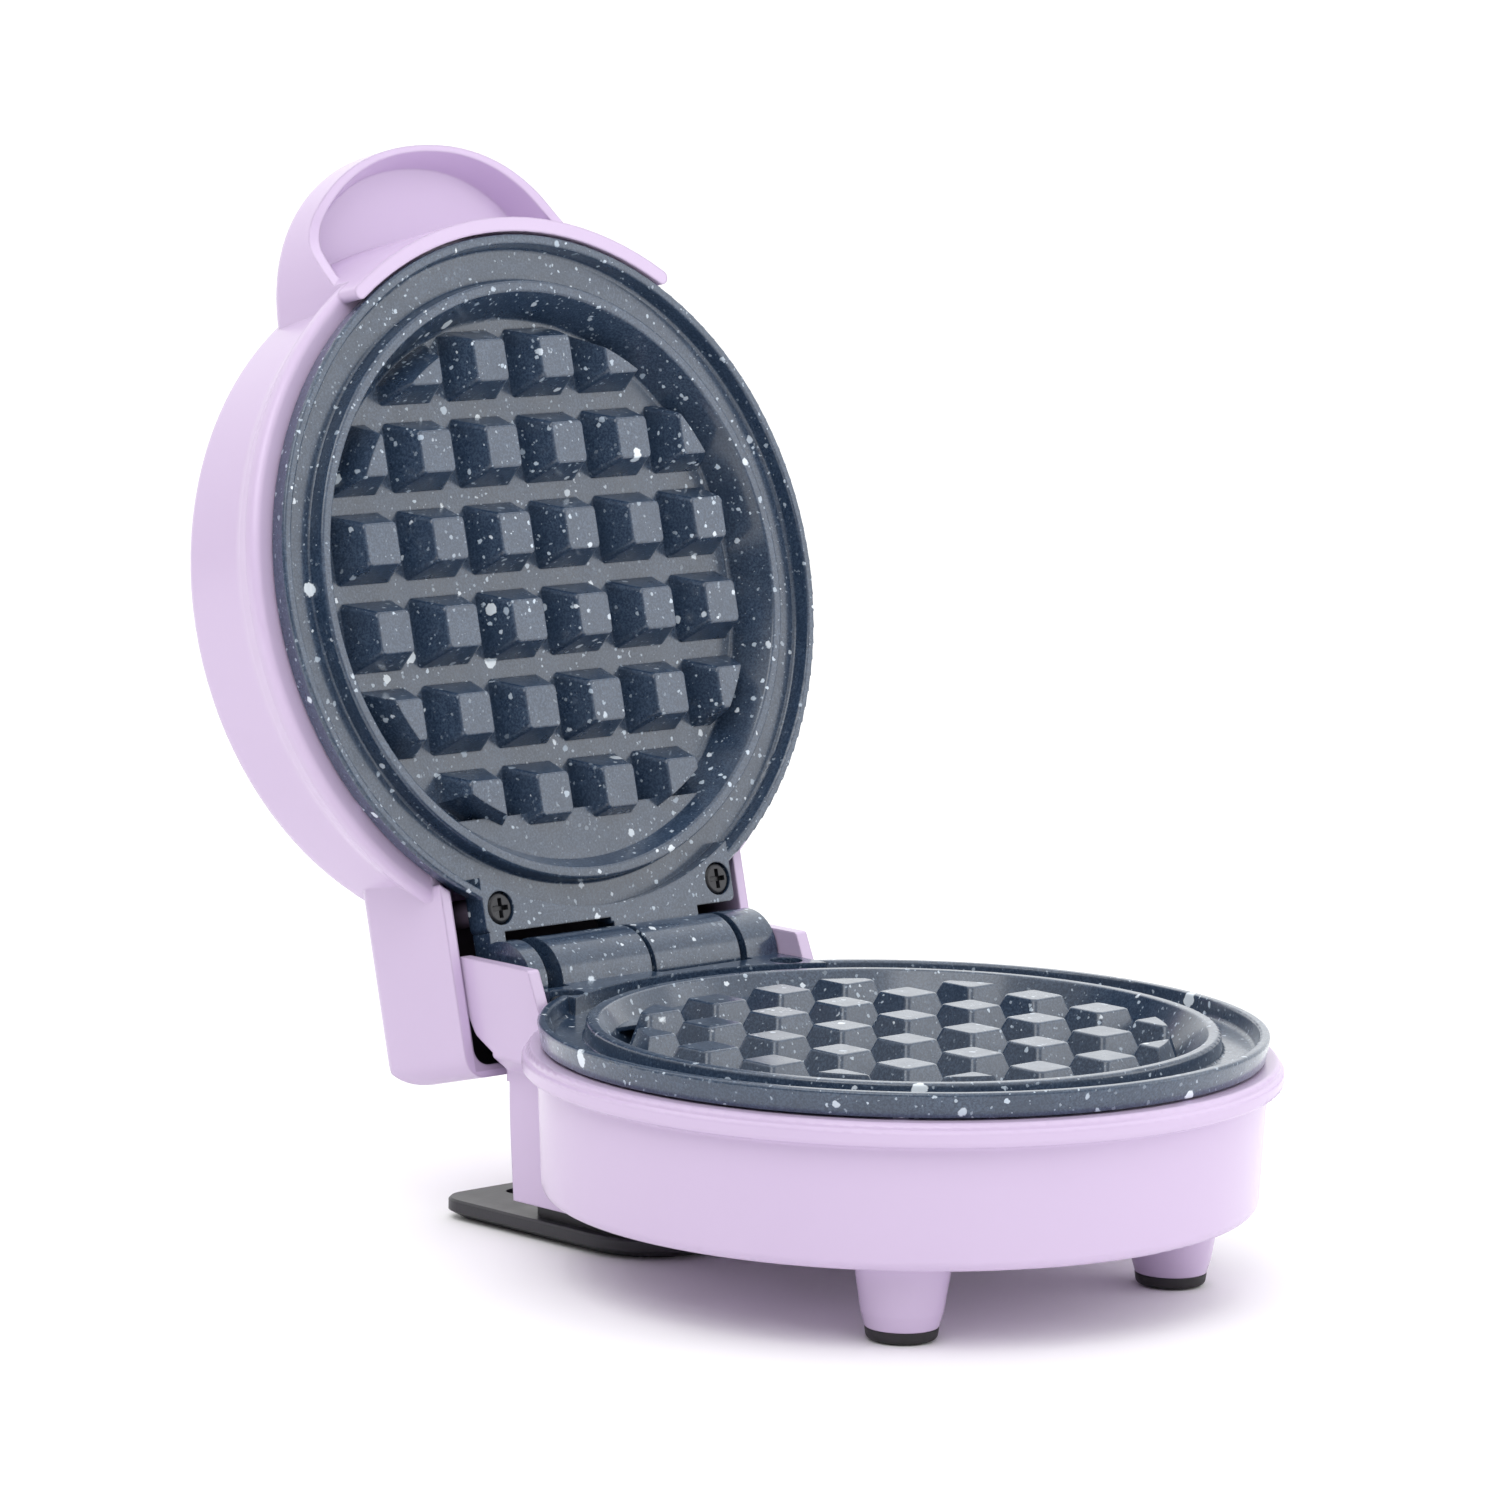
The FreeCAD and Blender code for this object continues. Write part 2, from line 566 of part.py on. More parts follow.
def base_cover():
    """Bottom disc with the two moulded front legs."""
    top = LIP_Z - 26.8
    low = LIP_Z - 28.9
    edge_r = SHELL_INNER_R - 0.25
    disc = turned([(0, low, 0), (edge_r, low, 0.4), (edge_r, top, 0), (0, top, 0)])
    disc = disc.cut(box((-60, 60), (31.3, 70), (0, 40)))
    leg = turned([(0, low + 0.5, 0), (8.9, low + 0.5, 0), (8.1, low - 0.6, 0.6), (6.75, 4.6, 2.0),
                  (6.0, FOOT_TIP, 0.2), (0, FOOT_TIP, 0)])
    pieces = [disc]
    for x in (-FOOT_X, FOOT_X):
        pieces.append(leg.translated(Vector(x, FOOT_Y, 0)))
    cover = fused(pieces)
    holes = []
    for angle in LONG_SCREW_ANGLES:
        x, y = polar(LONG_SCREW_R, angle)
        holes.append(rod(SCREW_R + 0.1, (x, y, 0), (x, y, 40)))
        holes.append(rod(SCREW_HEAD_R + 0.3, (x, y, 0), (x, y, low + 1.3)))
    for x in range(-18, 19, 6):
        holes.append(along_z([(x - 1.1, -12, 0.9), (x + 1.1, -12, 0.9),
                              (x + 1.1, 12, 0.9), (x - 1.1, 12, 0.9)], 0, 40))
    return cover.cut(holes)


def foot_tips():
    tip = turned([(0, 0, 0), (5.75, 0, 0.9), (6.05, FOOT_TIP, 0.15), (0, FOOT_TIP, 0)])
    return Part.makeCompound([tip.translated(Vector(x, FOOT_Y, 0)) for x in (-FOOT_X, FOOT_X)])


def cord_wrap_plate():
    """Black rear foot that carries the neck and closes it from below."""
    def plan(inset, z):
        half = WRAP_HALF - inset
        wire = outline([(-half, WRAP_REAR - inset, 5.5 - inset), (half, WRAP_REAR - inset, 5.5 - inset),
                        (half, WRAP_FRONT + inset, 14 - inset), (-half, WRAP_FRONT + inset, 14 - inset)],
                       on_xy).OuterWire
        wire.translate(Vector(0, 0, z))
        return wire
    lower = Part.makeLoft([plan(2.6, 0), plan(0, 1.4)], True, True)
    upper = Part.Face(plan(0, 1.4)).extrude(Vector(0, 0, 1.7))
    edge = Part.makeLoft([plan(0, 3.1), plan(0.4, WRAP_TOP)], True, True)
    plug = along_z([(-27.0, 35.4, 2), (27.0, 35.4, 2), (27.0, 61.6, 2), (-27.0, 61.6, 2)],
                   WRAP_TOP - 0.5, 8.5)
    cuts = []
    for x in (-WRAP_SCREW_X, WRAP_SCREW_X):
        cuts.append(rod(SCREW_R + 0.1, (x, WRAP_SCREWS_Y, -1), (x, WRAP_SCREWS_Y, 9)))
        cuts.append(rod(SCREW_HEAD_R + 0.3, (x, WRAP_SCREWS_Y, -1), (x, WRAP_SCREWS_Y, 2.6)))
        cuts.append(rod(2.3, (x * 0.8, 77.5, WRAP_TOP - 1.2), (x * 0.8, 77.5, WRAP_TOP + 1)))
    return fused([lower, upper, edge, plug]).cut(cuts)


def cord_inlet_bush():
    """Grommet in the neck's rear wall that the mains cord enters through."""
    wall_in, wall_out = 61.8, 65.6
    body = rod(4.95, (0, wall_in, INLET_Z), (0, wall_out, INLET_Z))
    inner = rod(6.6, (0, wall_in - 1.4, INLET_Z), (0, wall_in, INLET_Z))
    outer = rod(6.6, (0, wall_out, INLET_Z), (0, wall_out + 1.6, INLET_Z))
    bore = rod(INLET_BORE_R, (0, 55, INLET_Z), (0, 70, INLET_Z))
    return fused([body, inner, outer]).cut(bore)


def superellipse(half, reach, z):
    """Closed wire: the handle's outline at height z, with its straight side inside the lid."""
    steps = 16
    points = []
    for i in range(steps + 1):
        angle = math.pi * i / steps
        x = half * math.copysign(abs(math.cos(angle)) ** (2 / HANDLE_POWER), math.cos(angle))
        y = HANDLE_BASE_Y - reach * math.sin(angle) ** (2 / HANDLE_POWER) if 0 < i < steps else HANDLE_BASE_Y
        points.append(Vector(x, y, z))
    curve = Part.BSplineCurve()
    curve.interpolate(points)
    return Part.Wire([curve.toShape(), Part.makeLine(points[-1], points[0])])


def lid_shell():
    """Dome, hinge arm, hollow handle and visor of the lid, drawn shut."""
    face_z = LIP_Z + CLOSED_GAP
    dome = shell_blank(lid_rim(), LID_DEPTH + LID_CROWN)
    dome.rotate(ORIGIN, X_AXIS, 180)
    crown_r = SHELL_R ** 2 / (2 * LID_CROWN)
    dome = dome.common(Part.makeSphere(crown_r, Vector(0, 0, LID_DEPTH + LID_CROWN - crown_r)))
    shoulder = [e for e in dome.Edges if e.BoundBox.ZMin > LID_DEPTH - 1 and e.BoundBox.XLength > 100]
    dome = dome.makeFillet(2.6, shoulder)

    handle = Part.Face(superellipse(HANDLE_HALF, HANDLE_REACH, RIM_TOP)).extrude(
        Vector(0, 0, HANDLE_BACK - RIM_TOP))
    back_edge = [e for e in handle.Edges if e.BoundBox.ZMin > HANDLE_BACK - 0.01 and e.BoundBox.YLength > 5]
    handle = handle.makeFillet(2.4, back_edge)
    inner_half, inner_reach = HANDLE_HALF - HANDLE_SIDE_WALL, HANDLE_REACH - HANDLE_END_WALL
    pocket = fused([
        Part.Face(superellipse(inner_half, inner_reach, 0)).extrude(Vector(0, 0, POCKET_FRONT)),
        Part.makeLoft([superellipse(inner_half, inner_reach, POCKET_FRONT),
                       superellipse(inner_half - 3.0, inner_reach - 2.2, POCKET_BACK)], True, True)])
    front = along_x([(-95, -1, 0), (-95, POCKET_FRONT + 0.2, 0), (-64.5, POCKET_FRONT, 11),
                     (-50.5, RIM_TOP + 0.6, 0), (-44, RIM_TOP + 0.6, 0), (-44, -1, 0)], -50, 50)
    drum = rod(VISOR_R, (0, 0, -2), (0, 0, HANDLE_BACK + 5))
    handle = fused([handle.common(drum), handle.cut([drum, pocket, front])])

    sweep = VISOR_HALF_ANGLE
    visor = Part.Face(Part.Wire(Part.makePolygon(
        [Vector(VISOR_INNER_R, 0, 0.1), Vector(VISOR_R, 0, 0.1), Vector(VISOR_R, 0, RIM_TOP + 0.5),
         Vector(VISOR_INNER_R, 0, RIM_TOP + 0.5), Vector(VISOR_INNER_R, 0, 0.1)])))
    visor = visor.revolve(ORIGIN, Z_AXIS, 2 * sweep)
    visor.rotate(ORIGIN, Z_AXIS, -90 - sweep)
    middle_r = (VISOR_R + VISOR_INNER_R) / 2
    ends = []
    for angle in (-90 - sweep, -90 + sweep):
        x, y = polar(middle_r, angle)
        ends.append(rod((VISOR_R - VISOR_INNER_R) / 2, (x, y, 0.1), (x, y, RIM_TOP + 0.5)))

    arm = arm_block(0).cut(rod(40, (0, 0, 0), (0, 0, 80)))
    outside = fused([dome, handle, visor] + ends + [lifted(arm, -face_z)])
    cavity = turned([(0, 0, 0), (RIM_INNER_R, 0, 0), (RIM_INNER_R, RIM_TOP, 0),
                     (SHELL_INNER_R, LID_DEPTH - WALL, 1.5), (0, LID_DEPTH - WALL, 0)])
    relief = rod(VISOR_INNER_R, (0, 0, -1), (0, 0, RIM_TOP - 0.1))
    arm_room = lifted(arm_block(ARM_WALL), -face_z)
    shell = outside.cut([cavity, relief, arm_room])
    ribs = [box((-9, 9), (-58.6, -56.3), (8.6, 10.7))]
    for x, y in UPPER_TAB_SCREWS:
        ribs.append(rod(TAB_BOSS_R, (x, y, TAB_THICK), (x, y, 23.4)))
    shell = fused([shell] + ribs)
    holes = [rod(SCREW_R, (x, y, 0), (x, y, 18)) for x, y in UPPER_TAB_SCREWS]
    holes.append(rod(3.0, (0, LENS_Y, 20), (0, LENS_Y, 40)))
    return lifted(shell.cut(holes), face_z)


def arm_block(inset):
    """Outer form of the hinge arm, or its hollow when inset by the wall."""
    half = ARM_HALF - inset
    rear = HINGE_Y + ARM_BACK - inset
    top = HINGE_Z + ARM_TOP - inset
    low = HINGE_Z + ARM_OPEN - (10 if inset else 0)
    side = along_x([(35, low, 0), (rear, low, 0), (rear, top, ARM_CORNER_R - inset),
                    (35, top, 0)], -half, half)
    plan = along_z([(-half, 35, 0), (half, 35, 0), (half, rear, 4.0 - inset / 2),
                    (-half, rear, 4.0 - inset / 2)], low, top)
    across = outline([(-half, low, 0), (half, low, 0), (half, top, 3.0 - inset / 2),
                      (-half, top, 3.0 - inset / 2)], on_xz)
    across.translate(Vector(0, 35, 0))
    return side.common(plan).common(across.extrude(Vector(0, rear - 35, 0)))


# ---- wiring and small parts ----
def terminal_block():
    block = box((-13, 13), (40, 49), (8.5, 17.5))
    cuts = []
    for x in (-9.4, -3.0, 3.4, 9.8):
        cuts.append(rod(2.0, (x, 44.5, 14.5), (x, 44.5, 18)))
        cuts.append(rod(0.95, (x, 46.5, 13.0), (x, 50, 13.0)))
        cuts.append(rod(0.95, (x, 39, 13.0), (x, 42.5, 13.0)))
    return block.cut(cuts)


def base_lead(x, start):
    """Insulated lead from a terminal, over the shield's edge, to a point under the plate."""
    duct_y, rise_y = 43.5, 52.2
    high = LIP_Z - 12.0
    low = LIP_Z - 19.6
    return tube_along([(x, 46.5, 13.0), (x, rise_y, 13.0), (x, rise_y, high), (x, duct_y, high),
                       (x, duct_y, low), (start[0], start[1], low)], 0.9, 2.4)


def feed_sleeve_base():
    """Sleeve over the lid's leads, from the terminal block to the gap between two knuckles."""
    x, z, rear = 9.8, 13.0, 59.9
    turn_z = LIP_Z - 17
    sleeve = tube_along([(x, 49.0, z), (x, rear, z), (x, rear, turn_z), (SLEEVE_X, rear, turn_z),
                         (SLEEVE_X, rear, turn_z + 4.7), (SLEEVE_X, 73.2, 40.5)], SLEEVE_R, 2.8)
    return fused([sleeve, rod(0.9, (x, 46.5, z), (x, 49.5, z))])


def open_lid(shape):
    copy = shape.copy()
    copy.rotate(HINGE, X_AXIS, -OPEN_DEG)
    return copy


def lid_point(x, along, out):
    """Point given from the hinge axis along the lid and out of its cooking face, lid shut."""
    return (x, HINGE_Y - along, HINGE_Z - out)


def export(name, shape, shift):
    moved = shape.copy()
    moved.translate(shift)
    moved.exportStep("parts/" + name + ".step")


def indicator_lens():
    """Round pilot lens pushed into the top of the lid."""
    top = LIP_Z + CLOSED_GAP + LID_DEPTH + LID_CROWN
    lens = turned([(0, top - 4, 0), (2.9, top - 4, 0.3), (2.9, top, 0), (3.9, top, 0.2),
                   (3.7, top + 0.7, 0.4), (0, top + 1.0, 0)])
    return lens.translated(Vector(0, LENS_Y, 0))


def neon_lamp():
    top = LIP_Z + CLOSED_GAP + LID_DEPTH + LID_CROWN - 4.2
    lamp = turned([(0, top - 2.2, 0), (2.0, top - 2.2, 0.6), (2.0, top, 0.9), (0, top, 0)])
    return lamp.translated(Vector(0, LENS_Y, 0))


def main():
    low_parts = {
        "heater": heater(), "heater_clamp": heater_clamp(), "clamp_spacers": clamp_spacers(),
        "clamp_screws": clamp_screws(), "heat_shield": heat_shield(), "thermostat": thermostat(),
        "thermostat_bracket": thermostat_bracket(), "bracket_screws": bracket_screws()}
    base = {"base_shell": base_shell(), "base_cover": base_cover(), "foot_tips": foot_tips(),
            "cord_wrap_plate": cord_wrap_plate(), "cord_inlet_bush": cord_inlet_bush(),
            "lower_grill_plate": lower_plate(), "terminal_block": terminal_block()}
    lid = {"lid_shell": lid_shell(), "upper_grill_plate": upper_plate()}
    for name, shape in low_parts.items():
        base["lower_" + name] = lifted(shape, LIP_Z)
        lid["upper_" + name] = flipped(shape)
    pin_end = EAR_INNER - 0.05
    base["hinge_pin"] = rod(PIN_R, (-pin_end, HINGE_Y, HINGE_Z), (pin_end, HINGE_Y, HINGE_Z))
    base["lower_tab_screws"] = Part.makeCompound(
        [pan_screw(x, y, LIP_Z - LOWER_TAB_SEAT, LIP_Z - 14) for x, y in LOWER_TAB_SCREWS])
    base["long_screws"] = Part.makeCompound(
        [pan_screw(*polar(LONG_SCREW_R, a), LIP_Z - 27.6, LIP_Z - 7.0) for a in LONG_SCREW_ANGLES])
    base["wrap_plate_screws"] = Part.makeCompound(
        [pan_screw(x, WRAP_SCREWS_Y, 2.6, 18.0) for x in (-WRAP_SCREW_X, WRAP_SCREW_X)])
    base["return_lead"] = base_lead(-9.4, (-9.4, 34.5))
    base["thermostat_lead"] = base_lead(-3.0, (-4.2, 3.2))
    face_z = LIP_Z + CLOSED_GAP
    lid["upper_tab_screws"] = Part.makeCompound(
        [pan_screw(x, y, face_z + UPPER_TAB_SEAT, face_z + 14) for x, y in UPPER_TAB_SCREWS])
    lid["indicator_lens"] = indicator_lens()
    lid["neon_lamp"] = neon_lamp()
    base["feed_sleeve_base"] = feed_sleeve_base()
    lid["feed_sleeve_lid"] = tube_along(
        [lid_point(SLEEVE_X, 1.1, -5.7), lid_point(SLEEVE_X, 7.0, -10.5),
         lid_point(-17.0, 12.0, -13.0), lid_point(-9.4, 27.0, -15.0)], SLEEVE_R, 2.0)
    for name in list(lid):
        lid[name] = open_lid(lid[name])

    pieces = {**base, **lid}
    rear = lid["lid_shell"].optimalBoundingBox(False, False).YMax
    shift = Vector(0, -(rear - RIM_R) / 2, 0)
    os.makedirs("parts", exist_ok=True)
    for name, shape in pieces.items():
        export(name, shape, shift)
        good = shape.isValid() and all(s.isClosed() for s in shape.Shells)
        print(f"{name:22s} solids {len(shape.Solids)} volume {shape.Volume:10.1f} valid {good}")
    print("plate axis", shift.y, "hinge axis", HINGE_Y + shift.y, HINGE_Z)
    print("base", list(base))
    print("lid", list(lid))


main()
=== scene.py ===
import json
import math

import bpy
from mathutils import Matrix, Vector

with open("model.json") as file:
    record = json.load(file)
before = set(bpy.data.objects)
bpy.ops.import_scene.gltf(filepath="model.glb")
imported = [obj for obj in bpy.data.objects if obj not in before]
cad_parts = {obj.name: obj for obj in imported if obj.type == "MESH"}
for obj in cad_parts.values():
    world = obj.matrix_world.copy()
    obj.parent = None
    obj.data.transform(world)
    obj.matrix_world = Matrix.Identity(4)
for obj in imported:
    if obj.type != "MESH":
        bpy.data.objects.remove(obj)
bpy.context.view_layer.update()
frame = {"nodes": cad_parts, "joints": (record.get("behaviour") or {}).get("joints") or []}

MM = 0.001
nodes = frame["nodes"]

hinge = frame["joints"][0]
HINGE = Vector(hinge["pos_m"])
OPEN_ANGLE = math.radians(hinge["range_deg"][1])
HINGE_BEHIND_PLATE = 69.0 * MM      # the lower plate's axis to the hinge axis
PLATE_Y = HINGE.y - HINGE_BEHIND_PLATE
LIP_Z = 42.9 * MM                   # the lower plate's lip above the table


# ---------------------------------------------------------------- node helpers
class Mat:
    """A material under construction: short calls for the nodes it is made of."""

    def __init__(self, name):
        self.m = bpy.data.materials.new(name)
        self.m.use_nodes = True
        self.t = self.m.node_tree
        self.t.nodes.clear()
        self.out = self.t.nodes.new("ShaderNodeOutputMaterial")
        self.bsdf = self.t.nodes.new("ShaderNodeBsdfPrincipled")
        self.t.links.new(self.bsdf.outputs[0], self.out.inputs[0])
        self.coord = self.t.nodes.new("ShaderNodeTexCoord").outputs["Object"]

    def set(self, **values):
        for name, value in values.items():
            self.bsdf.inputs[name.replace("_", " ")].default_value = value
        return self

    def feed(self, name, socket):
        self.t.links.new(socket, self.bsdf.inputs[name])

    def put(self, node, index, value):
        if isinstance(value, bpy.types.NodeSocket):
            self.t.links.new(value, node.inputs[index])
        else:
            node.inputs[index].default_value = value

    def math(self, op, a, b=0.0):
        n = self.t.nodes.new("ShaderNodeMath")
        n.operation = op
        self.put(n, 0, a)
        self.put(n, 1, b)
        return n.outputs[0]

    def ramp(self, value, low, high, out_low=0.0, out_high=1.0, smooth=True):
        n = self.t.nodes.new("ShaderNodeMapRange")
        n.interpolation_type = "SMOOTHSTEP" if smooth else "LINEAR"
        self.put(n, 0, value)
        for i, v in enumerate((low, high, out_low, out_high)):
            self.put(n, 1 + i, v)
        return n.outputs[0]

    def noise(self, scale, detail=3.0, rough=0.5, coord=None):
        n = self.t.nodes.new("ShaderNodeTexNoise")
        self.t.links.new(coord or self.coord, n.inputs["Vector"])
        n.inputs["Scale"].default_value = scale
        n.inputs["Detail"].default_value = detail
        n.inputs["Roughness"].default_value = rough
        return n.outputs[0]

    def cells(self, scale, coord=None):
        n = self.t.nodes.new("ShaderNodeTexVoronoi")
        self.t.links.new(coord or self.coord, n.inputs["Vector"])
        n.inputs["Scale"].default_value = scale
        return n.outputs["Distance"], n.outputs["Color"]

    def split(self, socket, kind="ShaderNodeSeparateXYZ"):
        n = self.t.nodes.new(kind)
        self.t.links.new(socket, n.inputs[0])
        return n.outputs

    def mapped(self, scale=(1, 1, 1), rotation=(0, 0, 0), coord=None):
        n = self.t.nodes.new("ShaderNodeMapping")
        n.vector_type = "POINT"
        self.t.links.new(coord or self.coord, n.inputs[0])
        n.inputs["Rotation"].default_value = rotation
        n.inputs["Scale"].default_value = scale
        return n.outputs[0]

    def vadd(self, a, b, factor=1.0):
        """Vector a plus b times the factor."""
        s = self.t.nodes.new("ShaderNodeVectorMath")
        s.operation = "MULTIPLY_ADD"
        self.put(s, 0, b)
        self.put(s, 1, (factor, factor, factor))
        self.put(s, 2, a)
        return s.outputs[0]

    def mix(self, factor, a, b):
        n = self.t.nodes.new("ShaderNodeMix")
        n.data_type = "RGBA"
        self.put(n, 0, factor)
        for i, c in ((6, a), (7, b)):
            self.put(n, i, c if isinstance(c, bpy.types.NodeSocket) else (*c[:3], 1.0))
        return n.outputs[2]

    def bump(self, height, distance, strength=1.0, rounded=0.0):
        """Surface relief from a height, over edges that look rounded to a radius."""
        n = self.t.nodes.new("ShaderNodeBump")
        n.inputs["Strength"].default_value = strength
        n.inputs["Distance"].default_value = distance
        self.put(n, "Height", height)
        if rounded:
            b = self.t.nodes.new("ShaderNodeBevel")
            b.samples = 6
            b.inputs["Radius"].default_value = rounded
            self.t.links.new(b.outputs[0], n.inputs["Normal"])
        self.t.links.new(n.outputs[0], self.bsdf.inputs["Normal"])
        return self


def moulded(name, colour, shade, rough, grain=0.00002, grain_scale=900.0, rounded=0.00025):
    """Moulded plastic or rubber: faint colour drift, uneven gloss, fine surface grain."""
    m = Mat(name)
    drift = m.ramp(m.noise(14.0, 2.0), 0.3, 0.7)
    m.feed("Base Color", m.mix(m.math("MULTIPLY", drift, 0.5), colour, shade))
    haze = m.noise(55.0, 4.0, 0.6)
    m.feed("Roughness", m.ramp(haze, 0.3, 0.7, rough[0], rough[1]))
    m.bump(m.noise(grain_scale, 2.0, 0.6), grain, 1.0, rounded)
    return m


def metal(name, colour, shade, rough, stretch=(1, 1, 1), metallic=1.0):
    """Plain or plated metal with brushed or cloudy roughness."""
    m = Mat(name)
    coord = m.mapped(scale=stretch)
    cloud = m.noise(90.0, 4.0, 0.6)
    grain = m.noise(600.0, 3.0, 0.6, coord=coord)
    m.feed("Base Color", m.mix(m.ramp(cloud, 0.3, 0.7), colour, shade))
    m.feed("Roughness", m.ramp(grain, 0.25, 0.75, rough[0], rough[1]))
    m.set(Metallic=metallic)
    m.bump(grain, 0.01 * MM, 0.6, 0.2 * MM)
    return m


def speck_layer(m, coord, scale, radius, share, soft=0.25):
    """Mask of round specks, one in a share of the cells, up to radius cells wide; and its tone."""
    distance, colour = m.cells(scale, coord)
    channels = m.split(colour, "ShaderNodeSeparateColor")
    size = m.ramp(channels[0], 1.0 - share, 1.0, 0.25, 1.0, smooth=False)
    there = m.math("GREATER_THAN", channels[0], 1.0 - share)
    edge = m.math("MULTIPLY", size, radius)
    inside = m.ramp(distance, m.math("MULTIPLY", edge, 1.0 - soft), edge, 1.0, 0.0)
    return m.math("MULTIPLY", inside, there), channels[1]


def stone(name):
    """Blue-grey non-stick coating sprayed with pale specks of many sizes, glossy on top."""
    m = Mat(name)
    # wobbled coordinates, so that the specks aren't round
    warp = m.t.nodes.new("ShaderNodeTexNoise")
    m.t.links.new(m.coord, warp.inputs["Vector"])
    warp.inputs["Scale"].default_value = 1100.0
    warp.inputs["Detail"].default_value = 2.0
    warped = m.vadd(m.coord, warp.outputs["Color"], 0.9 * MM)

    # the blue-grey ground, with fine grain and cloudy patches
    fine = m.noise(2400.0, 2.0, 0.7)
    cloud = m.noise(110.0, 3.0, 0.6)
    slate = m.mix(m.ramp(fine, 0.40, 0.64), (0.016, 0.032, 0.064), (0.056, 0.086, 0.136))
    slate = m.mix(m.ramp(cloud, 0.35, 0.75, 0.0, 0.45), slate, (0.016, 0.031, 0.060))

    # specks from the finest spray to the large drops; the fine ones crowd in patches
    crowd = m.ramp(m.noise(55.0, 2.0), 0.35, 0.62, 0.25, 1.0)
    dust, _ = speck_layer(m, warped, 1250.0, 0.40, 0.26)
    grains, _ = speck_layer(m, warped, 720.0, 0.36, 0.20)
    small, small_tone = speck_layer(m, warped, 430.0, 0.36, 0.17)
    large, _ = speck_layer(m, warped, 170.0, 0.26, 0.13, soft=0.15)
    colour = m.mix(m.math("MULTIPLY", dust, m.math("MULTIPLY", crowd, 0.75)), slate, (0.44, 0.50, 0.57))
    pale = m.mix(small_tone, (0.34, 0.40, 0.47), (0.86, 0.88, 0.90))
    colour = m.mix(m.math("MULTIPLY", grains, crowd), colour, (0.60, 0.66, 0.72))
    colour = m.mix(small, colour, pale)
    colour = m.mix(large, colour, (0.88, 0.90, 0.91))
    m.feed("Base Color", colour)
    specks = m.math("MAXIMUM", m.math("MAXIMUM", small, large), m.math("MULTIPLY", grains, 0.6))
    gloss = m.ramp(m.noise(240.0, 4.0, 0.6), 0.3, 0.7, 0.26, 0.38)
    m.feed("Roughness", m.ramp(specks, 0.0, 1.0, gloss, 0.45, smooth=False))
    height = m.math("ADD", m.math("MULTIPLY", fine, 0.35), m.math("MULTIPLY", specks, 0.8))
    m.set(Coat_Weight=0.85, Coat_Roughness=0.15, Coat_Tint=(0.88, 0.94, 1.0, 1.0))
    m.bump(height, 0.00005, 0.8, 0.0005)
    return m


def shut_coord(m):
    """Object coordinates turned back to the shut lid, measured from the hinge axis."""
    local = m.vadd(m.coord, tuple(-HINGE), 1.0)
    return m.mapped(rotation=(OPEN_ANGLE, 0, 0), coord=local)


def lid_lilac():
    """Glossy lilac outside; the hinge arm's hollow gets a painted shade, lilac at its open edge and
    deepening to near black further in.
    """
    m = Mat("lilac_lid")
    drift = m.ramp(m.noise(14.0, 2.0), 0.3, 0.7)
    lilac = m.mix(m.math("MULTIPLY", drift, 0.5), LILAC, LILAC_SHADE)
    x, y, z = m.split(shut_coord(m))[:3]
    # mask of the painted shade inside the arm's hollow, darker the deeper in
    inside = m.ramp(m.math("ABSOLUTE", x), ARM_HOLLOW_X, ARM_HOLLOW_X + EDGE, 1.0, 0.0)
    past_y = m.math("MAXIMUM", m.math("SUBTRACT", y, ARM_BEND_Y), 0.0)
    past_z = m.math("MAXIMUM", m.math("SUBTRACT", z, ARM_BEND_Z), 0.0)
    reach = m.math("SQRT", m.math("ADD", m.math("MULTIPLY", past_y, past_y),
                                  m.math("MULTIPLY", past_z, past_z)))
    inside = m.math("MULTIPLY", inside, m.ramp(reach, ARM_BEND_R, ARM_BEND_R + EDGE, 1.0, 0.0))
    inside = m.math("MULTIPLY", inside, m.ramp(y, HOLLOW_FROM_Y - EDGE, HOLLOW_FROM_Y))
    inside = m.math("MULTIPLY", inside, m.ramp(z, PAINTED_SHADE_FROM_Z, PAINTED_SHADE_FULL_Z, 0.25, 1.0))
    m.feed("Base Color", m.mix(inside, lilac, HOLLOW_PAINTED_SHADE))
    gloss = m.ramp(m.noise(55.0, 4.0, 0.6), 0.3, 0.7, 0.20, 0.27)
    m.feed("Roughness", m.math("MAXIMUM", gloss, m.math("MULTIPLY", inside, 0.7)))
    m.bump(m.noise(700.0, 2.0, 0.6), 0.000008, 1.0, 0.0007)
    return m


# ---------------------------------------------------------------- finishes
LILAC = (0.620, 0.500, 0.700)
LILAC_SHADE = (0.590, 0.470, 0.675)
# painted shade: near-black colour put in the arm's hollow where there is only shadow
HOLLOW_PAINTED_SHADE = (0.030, 0.022, 0.036)
# the arm's hollow, in the shut lid's frame from the hinge axis
ARM_HOLLOW_X = 33.2 * MM            # half its width
ARM_BEND_Y = 6.5 * MM               # centre of the bend between end wall and broad wall
ARM_BEND_Z = 17.9 * MM
ARM_BEND_R = 7.2 * MM               # between the bend's inner and outer faces
HOLLOW_FROM_Y = -22.0 * MM          # its front end
PAINTED_SHADE_FROM_Z = 4.0 * MM              # the painted shade deepens from here
PAINTED_SHADE_FULL_Z = 14.0 * MM
EDGE = 0.3 * MM                     # width of the colour change
shell_lilac = moulded("lilac_gloss", LILAC, LILAC_SHADE, (0.20, 0.27), 0.000008, 700.0, rounded=0.0005)
lilac_lid = lid_lilac()
black_plastic = moulded("black_satin", (0.022, 0.022, 0.028), (0.030, 0.030, 0.036), (0.36, 0.48),
                        0.00003, 1500.0)
